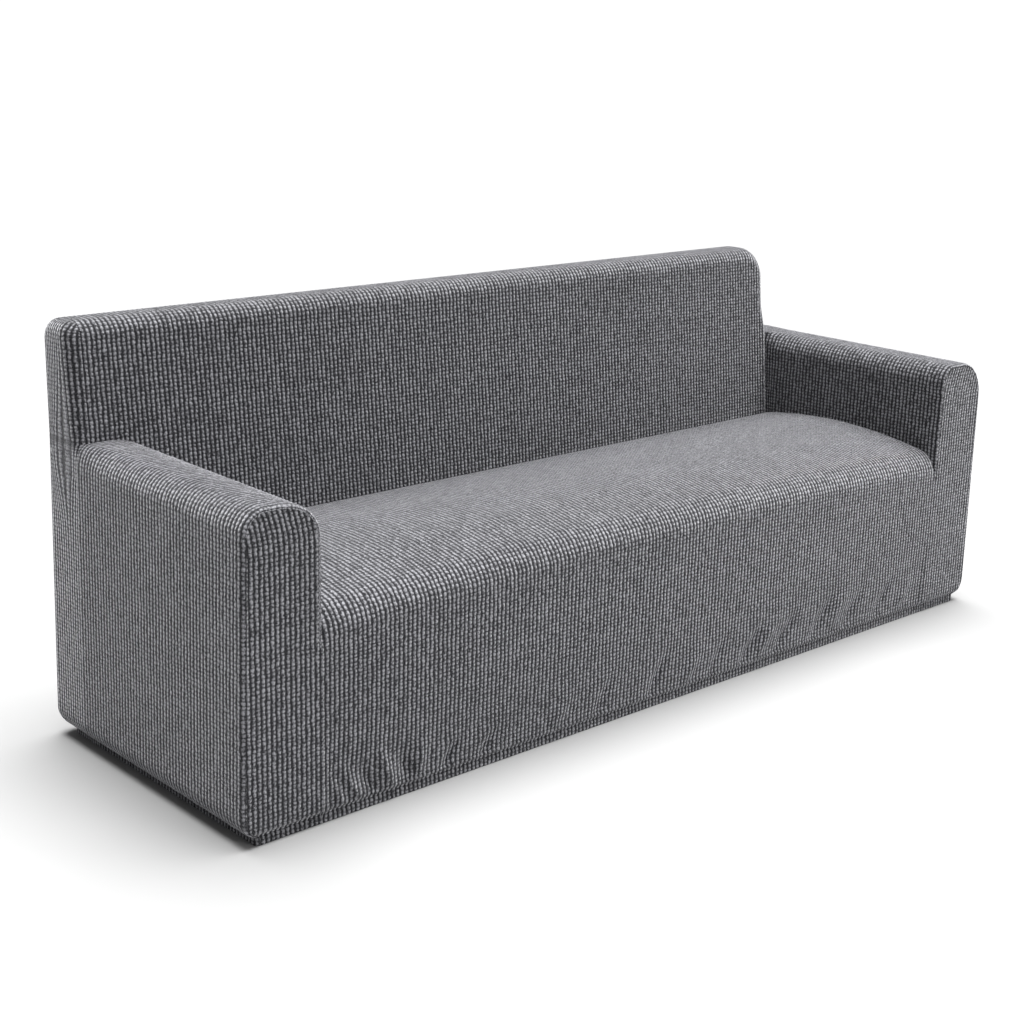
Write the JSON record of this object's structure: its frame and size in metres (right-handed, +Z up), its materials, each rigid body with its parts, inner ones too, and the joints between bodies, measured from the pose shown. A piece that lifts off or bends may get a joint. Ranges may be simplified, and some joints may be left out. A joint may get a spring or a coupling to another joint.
{
  "type": "sofa slipcover",
  "caption": "Fitted stretch cover for a long sofa with square arms and a raised back, in a grey waffle knit, hollow and open at the hem.",
  "frame": {"origin": "middle of the hem's footprint, on the floor", "axes": "+X along the sofa to the sitter's left, where the back stops short of the arm; -Y to the front; +Z up"},
  "size_m": [2.2252, 0.6906, 0.86],
  "materials": {
    "seat_cloth": "waffle-knit polyester, matte grey",
    "back_front_cloth": "waffle-knit polyester, matte grey",
    "back_rear_cloth": "waffle-knit polyester, matte grey",
    "side_left_cloth": "waffle-knit polyester, matte grey",
    "side_right_cloth": "waffle-knit polyester, matte grey",
    "arm_front_left_cloth": "waffle-knit polyester, matte grey",
    "arm_front_right_cloth": "waffle-knit polyester, matte grey"
  },
  "bodies": {
    "root": {"seat": "seat_cloth", "back_front": "back_front_cloth", "back_rear": "back_rear_cloth", "side_left": "side_left_cloth", "side_right": "side_right_cloth", "arm_front_left": "arm_front_left_cloth", "arm_front_right": "arm_front_right_cloth"}
  },
  "joints": []
}
